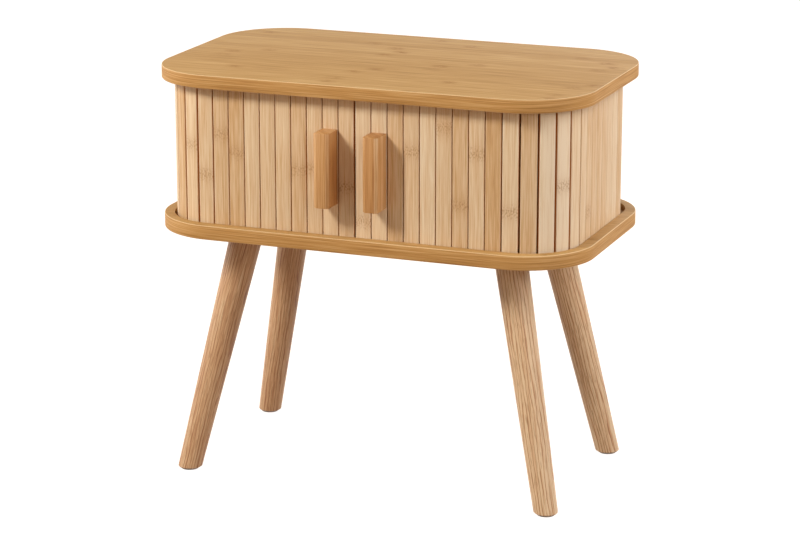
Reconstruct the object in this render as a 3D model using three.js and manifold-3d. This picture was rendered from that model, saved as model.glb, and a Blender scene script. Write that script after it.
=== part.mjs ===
// Bamboo nightstand with two tambour doors that run in grooves round all four rounded corners.
// Millimetres, +Z up, front towards -Y. The origin is on the floor, under the middle of the bounding box.

import * as THREE from 'three';
import * as BufferGeometryUtils from 'three/addons/utils/BufferGeometryUtils.js';
import Module from 'manifold-3d';

const wasm = await Module();
wasm.setup();

// Driving dimensions of the whole piece
const width = 500;
const depth = 300;
const height = 465;
const overhang = 14;
const topThickness = 15;
const baseThickness = 16;
const clearHeight = 153;

// Gaps: one between pieces that touch, one for holes that take a fastener
const touchGap = 0.3;
const holeGap = 0.35;

// How far a cutting shape runs on past the face that it opens
const cutPast = 1;

// Tambour slats, on a canvas whose back face is the hinge line
const slatGap = 1;
const slatThickness = 4.6;
const canvasThickness = 0.7;
const slatArris = 0.5;
const meetingGap = 1;
const trackRadius = 60;
const slatsPerDoor = 22;
const leadSlats = 3;
const slatsOfTravel = 6;

// Grooves in both boards that guide the slat ends
const grooveDepth = 5.5;
const slatFloorGap = 0.4;
const slatRoofGap = 1.1;
const grooveOuterGap = 0.8;
const grooveInnerGap = 1.2;
const grooveCornerEase = 6;
const grooveStopGap = 1;

// Block handles
const handleWidth = 17.5;
const handleDepth = 27.5;
const handleHeight = 82;
const handleChamfer = 3.4;
const handleSlat = 2;
const spigotSpacing = 50;
const spigotRadius = 4;
const spigotFloor = 1.5;
const spigotRoot = 2;

// Inner box of two side panels and a back panel, housed in both boards, which carries the top
const boxSideRoom = 28;
const boxEndRoom = 21;
const sidePanelThickness = 12;
const backPanelThickness = 9;
const housingDepth = 4;

// Splayed legs, each a round taper cut level at both ends, set in from the edges of the boards
const legTopInX = 95.5;
const legTopInY = 79.5;
const legFootInX = 36;
const legFootInY = 37;
const legTopRadius = 18.5;
const legFootRadius = 13.2;
const padRadius = 10;
const padThickness = 1.8;
const boltRadius = 4;
const boltInLeg = 29;
const boltCover = 4.5;

// Length at each end of a leg's taper that the level cuts take off
const legTrim = 12;

// How finely round shapes are divided
const cornerSteps = 20;
const legSides = 48;
const boltSides = 20;
const weldDistance = 1e-4;
const halvings = 60;

// Heights worked out from the driving dimensions
const topUnderside = height - topThickness;
const baseTop = topUnderside - clearHeight;
const baseUnderside = baseTop - baseThickness;
const grooveFloor = baseTop - grooveDepth;
const grooveRoof = topUnderside + grooveDepth;
const slatBottom = grooveFloor + slatFloorGap;
const slatLength = grooveRoof - slatRoofGap - slatBottom;
const panelBottom = baseTop - housingDepth + touchGap;
const panelTop = topUnderside + housingDepth - touchGap;

// The hinge line is a rounded rectangle. A shut door takes up half its front, one corner and one side.
const slatDepth = canvasThickness + slatThickness;
const frontStraight = width / 2 - overhang - slatDepth - trackRadius;
const sideStraight = depth / 2 - overhang - slatDepth - trackRadius;
const cornerLength = trackRadius * Math.PI / 2;
const doorLength = frontStraight - meetingGap / 2 + cornerLength + 2 * sideStraight;
const slatPitch = doorLength / slatsPerDoor;
const trackHalfWidth = frontStraight + trackRadius;
const trackHalfDepth = sideStraight + trackRadius;
const slatFaceY = trackHalfDepth + slatDepth;
const cornerRadius = trackRadius + slatDepth + overhang;

// Inner box and legs, placed from the track and the boards
const boxHalfWidth = trackHalfWidth - boxSideRoom;
const boxHalfDepth = trackHalfDepth - boxEndRoom;
const legTopX = width / 2 - legTopInX;
const legTopY = depth / 2 - legTopInY;
const legFootX = width / 2 - legFootInX;
const legFootY = depth / 2 - legFootInY;
const boltInBoard = baseThickness - boltCover;
const spigotLength = slatThickness - spigotFloor;

// The handles reach past the boards, so the boards sit behind the origin by half of that
const handleReach = slatFaceY + handleDepth + touchGap - depth / 2;
const boardShift = handleReach / 2;

const bamboo = new THREE.MeshStandardMaterial({ color: 0xc69c6a, roughness: 0.5, metalness: 0 });
const slatWood = new THREE.MeshStandardMaterial({ color: 0xd3b085, roughness: 0.6, metalness: 0 });
const handleWood = new THREE.MeshStandardMaterial({ color: 0xc4945a, roughness: 0.55, metalness: 0 });
const panelBoard = new THREE.MeshStandardMaterial({ color: 0xcba674, roughness: 0.6, metalness: 0 });
const legWood = new THREE.MeshStandardMaterial({ color: 0xcda47a, roughness: 0.55, metalness: 0 });
const padPlastic = new THREE.MeshStandardMaterial({ color: 0xa6a39c, roughness: 0.6, metalness: 0 });
const steel = new THREE.MeshStandardMaterial({ color: 0xb4b6b8, roughness: 0.35, metalness: 1 });

const nightstand = new THREE.Group();
nightstand.position.y = boardShift;

// Turns a closed three.js geometry into a solid that can be cut and joined
function solidOf(geometry) {
  const bare = geometry.clone();
  bare.deleteAttribute('normal');
  bare.deleteAttribute('uv');
  const merged = BufferGeometryUtils.mergeVertices(bare, weldDistance);
  const vertProperties = new Float32Array(merged.attributes.position.array);
  const triVerts = new Uint32Array(merged.index.array);
  return new wasm.Manifold(new wasm.Mesh({ numProp: 3, vertProperties, triVerts }));
}

// Turns a solid back into a three.js geometry
function geometryOf(solid) {
  const mesh = solid.getMesh();
  const geometry = new THREE.BufferGeometry();
  geometry.setAttribute('position', new THREE.BufferAttribute(new Float32Array(mesh.vertProperties), 3));
  geometry.setIndex(new THREE.BufferAttribute(new Uint32Array(mesh.triVerts), 1));
  geometry.computeVertexNormals();
  return geometry;
}

// Joins solids that don't touch, or touch and belong together
function joined(solids) {
  return solids.reduce((whole, solid) => whole.add(solid));
}

function addPiece(name, geometry, material) {
  const mesh = new THREE.Mesh(geometry, material);
  mesh.name = name;
  nightstand.add(mesh);
  return mesh;
}

function box(minX, maxX, minY, maxY, minZ, maxZ) {
  const geometry = new THREE.BoxGeometry(maxX - minX, maxY - minY, maxZ - minZ);
  geometry.translate((minX + maxX) / 2, (minY + maxY) / 2, (minZ + maxZ) / 2);
  return geometry;
}

// Upright round bar or hole, from one height to another
function upright(radius, x, y, fromZ, toZ, sides) {
  const geometry = new THREE.CylinderGeometry(radius, radius, toZ - fromZ, sides);
  geometry.rotateX(Math.PI / 2);
  geometry.translate(x, y, (fromZ + toZ) / 2);
  return geometry;
}

// Rounded rectangle about the middle, from its four corner arcs
function roundedRectangle(halfX, halfY, radius) {
  const points = [];
  for (let corner = 0; corner < 4; corner += 1) {
    const signX = corner === 0 || corner === 3 ? 1 : -1;
    const signY = corner < 2 ? 1 : -1;
    for (let step = 0; step <= cornerSteps; step += 1) {
      const turn = (corner + step / cornerSteps) * Math.PI / 2;
      points.push(new THREE.Vector2(
        signX * (halfX - radius) + radius * Math.cos(turn),
        signY * (halfY - radius) + radius * Math.sin(turn),
      ));
    }
  }
  return new THREE.Shape(points);
}

// Extrudes an outline upwards between two heights
function extruded(shape, fromZ, toZ) {
  const geometry = new THREE.ExtrudeGeometry(shape, { depth: toZ - fromZ, bevelEnabled: false });
  geometry.translate(0, 0, fromZ);
  return geometry;
}

// Point on the hinge line of the right door, at a distance along it from the middle of the front
function trackPoint(distance) {
  let rest = distance;
  if (rest <= frontStraight) return new THREE.Vector2(rest, -trackHalfDepth);
  rest -= frontStraight;
  if (rest <= cornerLength) {
    const turn = rest / trackRadius;
    const across = trackRadius * Math.sin(turn);
    return new THREE.Vector2(frontStraight + across, -sideStraight - trackRadius * Math.cos(turn));
  }
  rest -= cornerLength;
  if (rest <= 2 * sideStraight) return new THREE.Vector2(trackHalfWidth, -sideStraight + rest);
  rest -= 2 * sideStraight;
  if (rest <= cornerLength) {
    const turn = rest / trackRadius;
    const across = trackRadius * Math.cos(turn);
    return new THREE.Vector2(frontStraight + across, sideStraight + trackRadius * Math.sin(turn));
  }
  rest -= cornerLength;
  return new THREE.Vector2(frontStraight - rest, trackHalfDepth);
}

// The hinges of the canvas lie on the track, one straight pitch apart
function hingePoints(count) {
  let distance = meetingGap / 2;
  const hinges = [trackPoint(distance)];
  while (hinges.length < count) {
    const from = hinges[hinges.length - 1];
    let near = distance;
    let far = distance + 2 * slatPitch;
    for (let halving = 0; halving < halvings; halving += 1) {
      const middle = (near + far) / 2;
      if (trackPoint(middle).distanceTo(from) < slatPitch) near = middle;
      else far = middle;
    }
    distance = near;
    hinges.push(trackPoint(distance));
  }
  return hinges;
}

const hinges = hingePoints(slatsPerDoor + slatsOfTravel + 1);

// Outline of some slats side by side on one strip of canvas, seen from above, with the outside towards -Y
function slatOutline(count) {
  const half = count * slatPitch / 2;
  const slatHalf = (slatPitch - slatGap) / 2;
  const arrisMiddle = slatArris * (1 - Math.SQRT1_2);
  const shape = new THREE.Shape();
  shape.moveTo(half - touchGap / 2, 0);
  shape.lineTo(-half + touchGap / 2, 0);
  shape.lineTo(-half + touchGap / 2, -canvasThickness);
  for (let index = 0; index < count; index += 1) {
    const middle = -half + (index + 0.5) * slatPitch;
    const left = middle - slatHalf;
    const right = middle + slatHalf;
    shape.lineTo(left, -canvasThickness);
    shape.lineTo(left, -slatDepth + slatArris);
    shape.lineTo(left + arrisMiddle, -slatDepth + arrisMiddle);
    shape.lineTo(left + slatArris, -slatDepth);
    shape.lineTo(right - slatArris, -slatDepth);
    shape.lineTo(right - arrisMiddle, -slatDepth + arrisMiddle);
    shape.lineTo(right, -slatDepth + slatArris);
    shape.lineTo(right, -canvasThickness);
  }
  shape.lineTo(half - touchGap / 2, -canvasThickness);
  shape.closePath();
  return shape;
}

// One board with the groove for both doors, which stops behind the last slat of an open door
function grooveCut(fromZ, toZ) {
  const outer = solidOf(extruded(
    roundedRectangle(
      trackHalfWidth + slatDepth + grooveOuterGap,
      slatFaceY + grooveOuterGap,
      trackRadius + slatDepth + grooveOuterGap - grooveCornerEase,
    ),
    fromZ,
    toZ,
  ));
  const inner = solidOf(extruded(
    roundedRectangle(
      trackHalfWidth - grooveInnerGap,
      trackHalfDepth - grooveInnerGap,
      trackRadius - grooveInnerGap,
    ),
    fromZ - cutPast,
    toZ + cutPast,
  ));
  const grooveEnd = hinges[hinges.length - 1].x - grooveStopGap;
  const uncut = solidOf(box(-grooveEnd, grooveEnd, 0, depth, fromZ - cutPast, toZ + cutPast));
  return outer.subtract(inner).subtract(uncut);
}

// The housing for the three panels is one channel round the back and both sides, open to the front
function housing(fromZ, toZ) {
  const outerX = boxHalfWidth + touchGap;
  const innerX = boxHalfWidth - sidePanelThickness - touchGap;
  const rearY = boxHalfDepth + touchGap;
  const innerY = boxHalfDepth - backPanelThickness - touchGap;
  const corners = [
    [-outerX, -rearY],
    [-innerX, -rearY],
    [-innerX, innerY],
    [innerX, innerY],
    [innerX, -rearY],
    [outerX, -rearY],
    [outerX, rearY],
    [-outerX, rearY],
  ];
  return solidOf(extruded(new THREE.Shape(corners.map(([x, y]) => new THREE.Vector2(x, y))), fromZ, toZ));
}

const legSigns = [
  ['front_left', -1, -1],
  ['front_right', 1, -1],
  ['rear_left', -1, 1],
  ['rear_right', 1, 1],
];

function makeBoards() {
  const outline = roundedRectangle(width / 2, depth / 2, cornerRadius);
  const top = solidOf(extruded(outline, topUnderside, height))
    .subtract(grooveCut(topUnderside - cutPast, grooveRoof))
    .subtract(housing(topUnderside - cutPast, topUnderside + housingDepth));
  const boltHoles = joined(legSigns.map(([, signX, signY]) => boltSolid(signX, signY, holeGap)));
  const base = solidOf(extruded(outline, baseUnderside, baseTop))
    .subtract(grooveCut(grooveFloor, baseTop + cutPast))
    .subtract(housing(baseTop - housingDepth, baseTop + cutPast))
    .subtract(boltHoles);
  addPiece('top_board', geometryOf(top), bamboo);
  addPiece('base_board', geometryOf(base), bamboo);
}

function makeInnerBox() {
  const backFront = boxHalfDepth - backPanelThickness;
  const innerX = boxHalfWidth - sidePanelThickness;
  const addPanel = (name, minX, maxX, minY, maxY) => {
    addPiece(name, box(minX, maxX, minY, maxY, panelBottom, panelTop), panelBoard);
  };
  addPanel('left_side_panel', -boxHalfWidth, -innerX, -boxHalfDepth, backFront - touchGap);
  addPanel('right_side_panel', innerX, boxHalfWidth, -boxHalfDepth, backFront - touchGap);
  addPanel('back_panel', -boxHalfWidth, boxHalfWidth, backFront, boxHalfDepth);
}

// Hanger bolt that holds a leg, square to the base board, or with a gap the hole that takes it
function boltSolid(signX, signY, gap = 0) {
  return solidOf(upright(
    boltRadius + gap,
    signX * legTopX,
    signY * legTopY,
    baseUnderside - boltInLeg - gap,
    baseUnderside + boltInBoard + gap,
    boltSides,
  ));
}

// A leg is a round taper along a leaning axis, cut level under the base board and over its pad
function legSolid(signX, signY) {
  const top = new THREE.Vector3(signX * legTopX, signY * legTopY, baseUnderside);
  const foot = new THREE.Vector3(signX * legFootX, signY * legFootY, 0);
  const axis = new THREE.Vector3().subVectors(top, foot);
  const length = axis.length();
  axis.normalize();
  const slope = (legTopRadius - legFootRadius) / length;
  const taper = new THREE.CylinderGeometry(
    legTopRadius + slope * legTrim,
    legFootRadius - slope * legTrim,
    length + 2 * legTrim,
    legSides,
  );
  taper.applyQuaternion(new THREE.Quaternion().setFromUnitVectors(new THREE.Vector3(0, 1, 0), axis));
  taper.translate((top.x + foot.x) / 2, (top.y + foot.y) / 2, (top.z + foot.z) / 2);
  const level = box(-width, width, -depth, depth, padThickness + touchGap, baseUnderside - touchGap);
  return solidOf(taper).intersect(solidOf(level));
}

function makeLegs() {
  const lean = padThickness / baseUnderside;
  for (const [corner, signX, signY] of legSigns) {
    const leg = legSolid(signX, signY).subtract(boltSolid(signX, signY, holeGap));
    addPiece(`leg_${corner}`, geometryOf(leg), legWood);
    addPiece(`leg_bolt_${corner}`, geometryOf(boltSolid(signX, signY)), steel);
    const pad = new THREE.CylinderGeometry(padRadius, padRadius, padThickness, legSides);
    pad.rotateX(Math.PI / 2);
    const padMesh = addPiece(`foot_pad_${corner}`, pad, padPlastic);
    padMesh.position.set(
      signX * THREE.MathUtils.lerp(legFootX, legTopX, lean),
      signY * THREE.MathUtils.lerp(legFootY, legTopY, lean),
      padThickness / 2,
    );
  }
}

// The lead slats stay on the straight front through the whole travel, so they share one strip of canvas
function slatRuns() {
  const runs = [{ first: 1, count: leadSlats }];
  for (let first = leadSlats + 1; first <= slatsPerDoor; first += 1) {
    runs.push({ first, count: 1 });
  }
  return runs;
}

// The two round spigots behind a handle, or with a gap the holes in the slat that take them
function spigots(x, frontY, gap = 0) {
  const middle = (baseTop + topUnderside) / 2 - slatBottom;
  const radius = spigotRadius + gap;
  const length = spigotRoot + spigotLength + gap;
  const pegs = [-0.5, 0.5].map((side) => {
    const peg = new THREE.CylinderGeometry(radius, radius, length, boltSides);
    peg.translate(x, frontY - spigotRoot + length / 2, middle + side * spigotSpacing);
    return solidOf(peg);
  });
  return joined(pegs);
}

function handleOutline() {
  const half = handleWidth / 2;
  const shape = new THREE.Shape();
  shape.moveTo(half, 0);
  shape.lineTo(-half, 0);
  shape.lineTo(-half, -handleDepth + handleChamfer);
  shape.lineTo(-half + handleChamfer, -handleDepth);
  shape.lineTo(half - handleChamfer, -handleDepth);
  shape.lineTo(half, -handleDepth + handleChamfer);
  shape.closePath();
  return shape;
}

// A door: its slats from the meeting line to the tail, and its handle
function makeDoor(side, sign) {
  for (const { first, count } of slatRuns()) {
    const start = hinges[first - 1];
    const end = hinges[first + count - 1];
    const number = String(first).padStart(2, '0');
    const name = first === 1 ? `${side}_door_lead_slats` : `${side}_door_slat_${number}`;
    let geometry = extruded(slatOutline(count), 0, slatLength);
    const slatX = sign * ((handleSlat - 0.5) * slatPitch - count * slatPitch / 2);
    if (first === 1) {
      geometry = geometryOf(solidOf(geometry).subtract(spigots(slatX, -slatDepth, holeGap)));
    }
    const mesh = addPiece(name, geometry, slatWood);
    mesh.position.set(sign * (start.x + end.x) / 2, (start.y + end.y) / 2, slatBottom);
    mesh.rotation.z = sign * Math.atan2(end.y - start.y, end.x - start.x);
  }
  const handleZ = (baseTop + topUnderside - handleHeight) / 2 - slatBottom;
  const block = extruded(handleOutline(), handleZ, handleZ + handleHeight);
  block.translate(0, -slatDepth - touchGap, 0);
  const handle = solidOf(block).add(spigots(0, -slatDepth));
  const handleMesh = addPiece(`${side}_door_handle`, geometryOf(handle), handleWood);
  const handleX = hinges[0].x + (handleSlat - 0.5) * slatPitch;
  handleMesh.position.set(sign * handleX, -trackHalfDepth, slatBottom);
}

makeBoards();
makeInnerBox();
makeLegs();
makeDoor('left', -1);
makeDoor('right', 1);

export default nightstand;
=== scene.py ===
# %% [markdown]
# # Dressing a bamboo nightstand with tambour doors
# The real object is a bedside table: two boards with rounded corners, slatted doors that run in
# grooves round those corners, two block handles and four splayed legs. The imported CAD model already
# holds every piece at its true size and place. Blender adds what the eye sees, which is rounded
# edges, grain, lacquer, cloth and light. The model is loaded first. The finished look has to stay
# inside it.

# %% Load the imported model
import math
import random

import bmesh
import bpy
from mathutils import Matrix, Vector


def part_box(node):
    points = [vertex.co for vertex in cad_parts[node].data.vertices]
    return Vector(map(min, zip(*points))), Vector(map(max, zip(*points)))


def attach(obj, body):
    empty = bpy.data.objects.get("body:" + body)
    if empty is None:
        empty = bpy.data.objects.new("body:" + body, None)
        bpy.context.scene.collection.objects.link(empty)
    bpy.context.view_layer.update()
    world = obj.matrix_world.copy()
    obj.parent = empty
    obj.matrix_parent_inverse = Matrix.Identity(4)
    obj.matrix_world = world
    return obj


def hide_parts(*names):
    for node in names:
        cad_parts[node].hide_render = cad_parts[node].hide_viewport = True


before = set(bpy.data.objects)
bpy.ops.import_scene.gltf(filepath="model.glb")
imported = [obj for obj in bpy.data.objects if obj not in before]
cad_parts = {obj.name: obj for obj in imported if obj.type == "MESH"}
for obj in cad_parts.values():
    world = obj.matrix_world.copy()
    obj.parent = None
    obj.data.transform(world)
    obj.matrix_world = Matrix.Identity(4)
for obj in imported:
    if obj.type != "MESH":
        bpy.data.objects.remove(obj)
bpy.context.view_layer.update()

# %% [markdown]
# ## Millimetres and a middle
# A maker thinks in millimetres from the middle of the boards, and Blender in metres from the middle
# of the whole object. The handles stick out at the front, so those two middles differ a little.
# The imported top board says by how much, and one small function does the change.

# %% From the maker's millimetres to the frame's metres
MM = 0.001
top_low, top_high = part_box("top_board")
BOARD_MIDDLE_Y = (top_low.y + top_high.y) / 2 / MM


def spot(x, y, z):
    """A point in the frame, from millimetres measured from the middle of the boards."""
    return Vector((x, y + BOARD_MIDDLE_Y, z)) * MM


print("the boards' middle lies", round(BOARD_MIDDLE_Y, 2), "mm behind the origin")

# %% [markdown]
# ## The camera
# The photograph looks at the front from the right and from a little above. Its straight edges and
# its legs fix the camera: a long lens, about three metres away, aimed at a point just under the
# base board. The lens could be shifted to keep upright lines parallel, but the legs and corners in
# the picture fit a plain aimed camera as well, and that stays right when it is moved round the
# table.

# %% Place the camera
CAMERA_AZIMUTH = 21.29
CAMERA_ELEVATION = 15.37
CAMERA_DISTANCE = 3199.6
CAMERA_TARGET_X = -0.6
CAMERA_TARGET_HEIGHT = 220.4
PHOTO_WIDTH = 800
FOCAL_PIXELS = 2831.5
SENSOR_WIDTH = 36.0


def put_in_scene(name, data):
    """Makes an object of a mesh, a camera or a lamp."""
    thing = bpy.data.objects.new(name, data)
    bpy.context.scene.collection.objects.link(thing)
    return thing


def aim(thing, target, azimuth, elevation, distance):
    """Stands a camera or a lamp off from its target and turns it there; azimuth 0 is the front."""
    turn, tilt = math.radians(azimuth), math.radians(elevation)
    away = Vector((math.sin(turn) * math.cos(tilt), -math.cos(turn) * math.cos(tilt),
                   math.sin(tilt)))
    thing.location = target + away * distance * MM
    thing.rotation_mode = "QUATERNION"
    thing.rotation_quaternion = away.to_track_quat("Z", "Y")


camera_data = bpy.data.cameras.new("studio_camera")
camera_data.sensor_width = SENSOR_WIDTH
camera_data.lens = FOCAL_PIXELS * SENSOR_WIDTH / PHOTO_WIDTH
camera = put_in_scene("studio_camera", camera_data)
camera_target = spot(CAMERA_TARGET_X, 0, CAMERA_TARGET_HEIGHT)
aim(camera, camera_target, CAMERA_AZIMUTH, CAMERA_ELEVATION, CAMERA_DISTANCE)
bpy.context.scene.camera = camera
print("lens", round(camera_data.lens, 1), "mm, at", [round(v, 3) for v in camera.location])

# %% [markdown]
# ## Colours and nodes
# Colours are written as the sRGB hex values that a paint chart or a picture gives. Shaders work in
# linear light, so one function converts them. A second one adds any node with its settings, fills
# its inputs in order or by name, and links whatever it is given that is a node or a socket.

# %% Colour and node helpers
def linear(hex_colour):
    """Turns an sRGB hex value into the linear colour that a shader wants."""
    parts = [int(hex_colour[i:i + 2], 16) / 255 for i in (0, 2, 4)]
    light = [p / 12.92 if p <= 0.04045 else ((p + 0.055) / 1.055) ** 2.4 for p in parts]
    return (*light, 1.0)


# A mix node's sockets for colours go by number, since their names come up three times.
COVER = 0
UNDER = 6
OVER = 7
MIXED = 2


def source_of(value):
    """A node stands for its first output; a socket or a plain value stands for itself."""
    return value.outputs[0] if isinstance(value, bpy.types.Node) else value


def add_node(tree, kind, inputs=(), stops=(), **settings):
    """Adds a shader node with its settings; an input may be a value, a socket or a node."""
    node = tree.nodes.new("ShaderNode" + kind)
    for name, value in settings.items():
        setattr(node, name, value)
    named = inputs.items() if isinstance(inputs, dict) else enumerate(inputs)
    for name, value in named:
        source = source_of(value)
        if isinstance(source, bpy.types.NodeSocket):
            tree.links.new(source, node.inputs[name])
        else:
            node.inputs[name].default_value = source
    if stops:
        elements = node.color_ramp.elements
        elements.remove(elements[-1])
        elements[0].position = stops[0][0]
        elements[0].color = linear(stops[0][1])
        for position, colour in stops[1:]:
            elements.new(position).color = linear(colour)
    return node


def start_material(name, roughness, **shader_values):
    """A new material with its tree and its shader, whose even values sit on its own sockets."""
    material = bpy.data.materials.new(name)
    material.use_nodes = True
    tree = material.node_tree
    shader = tree.nodes["Principled BSDF"]
    shader.inputs["Roughness"].default_value = roughness
    for socket, value in shader_values.items():
        shader.inputs[socket.replace("_", " ")].default_value = value
    return material, tree, shader


print("bamboo in linear light:", [round(c, 3) for c in linear("C69C6A")[:3]])

# %% [markdown]
# ## Grain that follows each piece
# Wood is a bundle of fibres, and every piece is cut from its own bundle. So each wooden piece gets
# an attribute named grain_place: millimetres across, through and along its own fibres. The same
# pattern then runs up a slat, round the edge of a board and down a leaning leg at its real size.
# Two more attributes say how pale the wood is, with painted light added on some slats and on the
# faces of the handles, and how high a slat's bamboo node lies. A third carries two painted marks at
# edges: a painted highlight on the rounded arris of a board, and painted shade on the sawn side of a
# slat, a deep orange brown that stands for the warm shade inside the gaps between slats.

# %% Writing and reading grain attributes
NO_NODE = -1000.0


def write_grain(piece, place_of, tone_and_light_of=lambda face: 0.5, node_height=NO_NODE,
                painted_edge_of=lambda face: 0.0):
    """Stores the grain place of each corner of each face, and three values beside it."""
    mesh = piece.data
    places = []
    stored = {"grain_tone_and_painted_light": [], "node_height": [], "painted_edge_light_and_shade": []}
    for face in mesh.polygons:
        for vertex in face.vertices:
            point = mesh.vertices[vertex].co / MM
            point.y -= BOARD_MIDDLE_Y
            places.extend(place_of(point, face))
            stored["grain_tone_and_painted_light"].append(tone_and_light_of(face))
            stored["node_height"].append(node_height)
            stored["painted_edge_light_and_shade"].append(painted_edge_of(face))
    mesh.attributes.new("grain_place", "FLOAT_VECTOR", "CORNER").data.foreach_set("vector", places)
    for name, values in stored.items():
        mesh.attributes.new(name, "FLOAT", "CORNER").data.foreach_set("value", values)


def read_grain(tree, *value_names):
    """The grain place as a vector, its three axes, and any of the values beside it."""
    place = add_node(tree, "Attribute", attribute_name="grain_place").outputs["Vector"]
    values = [add_node(tree, "Attribute", attribute_name=name).outputs["Fac"]
              for name in value_names]
    return place, add_node(tree, "SeparateXYZ", [place]).outputs, *values


def fibre_streaks(tree, place, thickness, length, start=0.0, detail=3.0):
    """Noise drawn out along the fibres, by the thickness and length of a streak in millimetres."""
    stretched = add_node(tree, "Mapping", {
        "Vector": place,
        "Location": (start, start, 0.0),
        "Scale": (1 / thickness, 1 / thickness, 1 / length),
    })
    return add_node(tree, "TexNoise", {
        "Vector": stretched, "Scale": 1.0, "Detail": detail, "Roughness": 0.6,
    })


def vary(tree, level, *noises):
    """Adds noises to a level, each with its own strength and as often below as above zero."""
    for noise, strength in noises:
        swing = add_node(tree, "Math", [noise, strength, -strength / 2], operation="MULTIPLY_ADD")
        level = add_node(tree, "Math", [swing, level], operation="ADD")
    return level


def set_surface(tree, shader, colour, height, depth):
    """Links a colour, and presses a pattern into the surface by a depth in millimetres."""
    tree.links.new(source_of(colour), shader.inputs["Base Color"])
    pressed = add_node(tree, "Bump", {"Distance": depth * MM, "Height": height})
    tree.links.new(pressed.outputs[0], shader.inputs["Normal"])


# %% [markdown]
# ## Material: lacquered bamboo slats
# A slat is a strip split from a bamboo stem, planed flat and lacquered satin. Its fibres are fine
# straight lines under a millimetre wide, drawn a little wider so that they show, and centimetres
# long. Where the stem had a joint, called a node, the slat shows a band of short wavy dashes with a
# warmer tint around it. Lacquer has an IOR near 1.5, and is satin here, with a roughness near half.

# %% Make the slat material
SLAT_FIBRE = (1.15, 45.0)
SLAT_CLOUD = (5.0, 150.0)
NODE_DASH = (1.3, 2.6)
NODE_BEND = (4.0, 40.0)
NODE_BEND_HEIGHT = 16.0
NODE_BAND = 11.0
NODE_GLOW = 20.0
DASH_STRENGTH = 0.5
GLOW_STRENGTH = 0.16

slat_bamboo, tree, shader = start_material("lacquered_bamboo_slat", 0.55, IOR=1.5)
place, axes, tone, bamboo_node, sawn = read_grain(tree, "grain_tone_and_painted_light", "node_height", "painted_edge_light_and_shade")
fine = fibre_streaks(tree, place, *SLAT_FIBRE)
broad = fibre_streaks(tree, place, *SLAT_CLOUD, start=7.0, detail=2.0)
level = vary(tree, tone, (fine, 1.3), (broad, 0.4))
wood = add_node(tree, "ValToRGB", [level], stops=[
    (0.0, "B48452"), (0.3, "CDA26D"), (0.55, "DDBA8F"), (0.8, "E7CAA2"), (1.0, "F0D9B7"),
])
from_node = add_node(tree, "Math", [axes[2], bamboo_node], operation="SUBTRACT")
bend = fibre_streaks(tree, place, *NODE_BEND, start=3.0)
from_bend = vary(tree, from_node, (bend, NODE_BEND_HEIGHT))
from_bend = add_node(tree, "Math", [from_bend], operation="ABSOLUTE")
band = add_node(tree, "MapRange", {
    "Value": from_bend, "From Min": NODE_BAND, "From Max": 0.0,
}, interpolation_type="SMOOTHSTEP")
dashes = fibre_streaks(tree, place, *NODE_DASH, start=11.0, detail=1.0)
dashes = add_node(tree, "MapRange", {
    "Value": dashes, "From Min": 0.46, "From Max": 0.62,
}, interpolation_type="SMOOTHSTEP")
mark = add_node(tree, "Math", [band, dashes], operation="MULTIPLY")
away = add_node(tree, "Math", [from_node], operation="ABSOLUTE")
glow = add_node(tree, "MapRange", {
    "Value": away, "From Min": NODE_GLOW, "From Max": 0.0, "To Max": GLOW_STRENGTH,
}, interpolation_type="SMOOTHSTEP")
mark = add_node(tree, "Math", [mark, DASH_STRENGTH, glow], operation="MULTIPLY_ADD")
slat_colour = add_node(tree, "Mix", {
    COVER: mark, UNDER: wood, OVER: linear("A5713C"),
}, data_type="RGBA")
# Sawn sides are mixed to a deep orange brown: painted shade for the warm shade inside the gaps
# between slats.
slat_colour = add_node(tree, "Mix", {
    COVER: sawn, UNDER: slat_colour.outputs[MIXED], OVER: linear("C28244"),
}, data_type="RGBA")
set_surface(tree, shader, slat_colour.outputs[MIXED], fine, 0.05)
print(slat_bamboo.name, "has", len(tree.nodes), "nodes")

# %% [markdown]
# ## Material: laminated bamboo board
# The boards are pressed from flat bamboo strips about 20 mm wide, with the grain along the width of
# the table. Each strip has its own tone, and short darker dashes where its bamboo nodes lie, some
# 250 mm apart. Pressing with heat makes the board a deeper caramel than the slats. Its fibres are
# drawn coarser than life, so that they show. What repeats is counted in laps, to a half and back.

# %% Make the board material
STRIP_WIDTH = 20.0
STRIP_NODE_SPACING = 250.0
STRIP_NODE_REACH = 15.0
BOARD_FIBRE = (2.8, 80.0)
BOARD_CLOUD = (8.0, 180.0)
BOARD_DASH = (1.8, 6.0)
HALF_LAP = 0.5

board_bamboo, tree, shader = start_material("matt_lacquered_bamboo_board", 0.6, IOR=1.5,
                                            Specular_IOR_Level=0.2)
place, axes = read_grain(tree)
strips = add_node(tree, "Math", [axes[0], 1 / STRIP_WIDTH], operation="MULTIPLY")
strip = add_node(tree, "Math", [strips], operation="FLOOR")
strip_luck = add_node(tree, "TexWhiteNoise", {"W": strip}, noise_dimensions="1D")
lucks = add_node(tree, "SeparateColor", [strip_luck.outputs["Color"]]).outputs
fine = fibre_streaks(tree, place, *BOARD_FIBRE)
broad = fibre_streaks(tree, place, *BOARD_CLOUD, start=5.0, detail=2.0)
level = vary(tree, 0.49, (lucks[0], 0.24), (fine, 1.6), (broad, 0.4))
wood = add_node(tree, "ValToRGB", [level], stops=[
    (0.0, "976E37"), (0.35, "AD8248"), (0.6, "B88E55"), (1.0, "C9A26C"),
])
slid = add_node(tree, "Math", [lucks[1], STRIP_NODE_SPACING, axes[2]], operation="MULTIPLY_ADD")
laps = add_node(tree, "Math", [slid, 1 / STRIP_NODE_SPACING], operation="MULTIPLY")
laps = add_node(tree, "Math", [laps, HALF_LAP], operation="PINGPONG")
near_node = add_node(tree, "MapRange", {
    "Value": laps, "From Min": HALF_LAP - STRIP_NODE_REACH / STRIP_NODE_SPACING,
    "From Max": HALF_LAP,
}, interpolation_type="SMOOTHSTEP")
from_seam = add_node(tree, "Math", [strips, HALF_LAP], operation="PINGPONG")
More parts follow.
